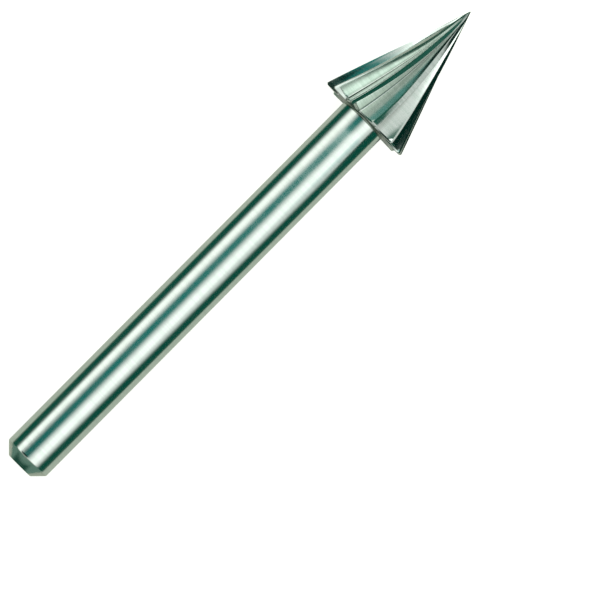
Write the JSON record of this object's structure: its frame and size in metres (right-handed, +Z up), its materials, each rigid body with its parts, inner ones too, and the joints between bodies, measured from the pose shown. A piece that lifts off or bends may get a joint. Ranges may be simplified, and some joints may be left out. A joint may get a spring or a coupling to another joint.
{
  "type": "rotary cutter",
  "caption": "One-piece steel cutter with a fluted cone head that ends in a sharp point, on a plain round shank for a hand-held rotary tool.",
  "frame": {"origin": "on the surface that the tool lies on, under the middle of its box", "axes": "+X along the tool towards its point, +Z up from the surface; the tool's axis lies in the XZ plane and rises towards the point"},
  "size_m": [0.0388, 0.0062, 0.006],
  "materials": {
    "tool_steel": "bare high speed steel, finely ground all over: rings round the shank, short marks across the flutes, bright cutting edges"
  },
  "bodies": {
    "root": {"cutter": "tool_steel"}
  },
  "joints": []
}
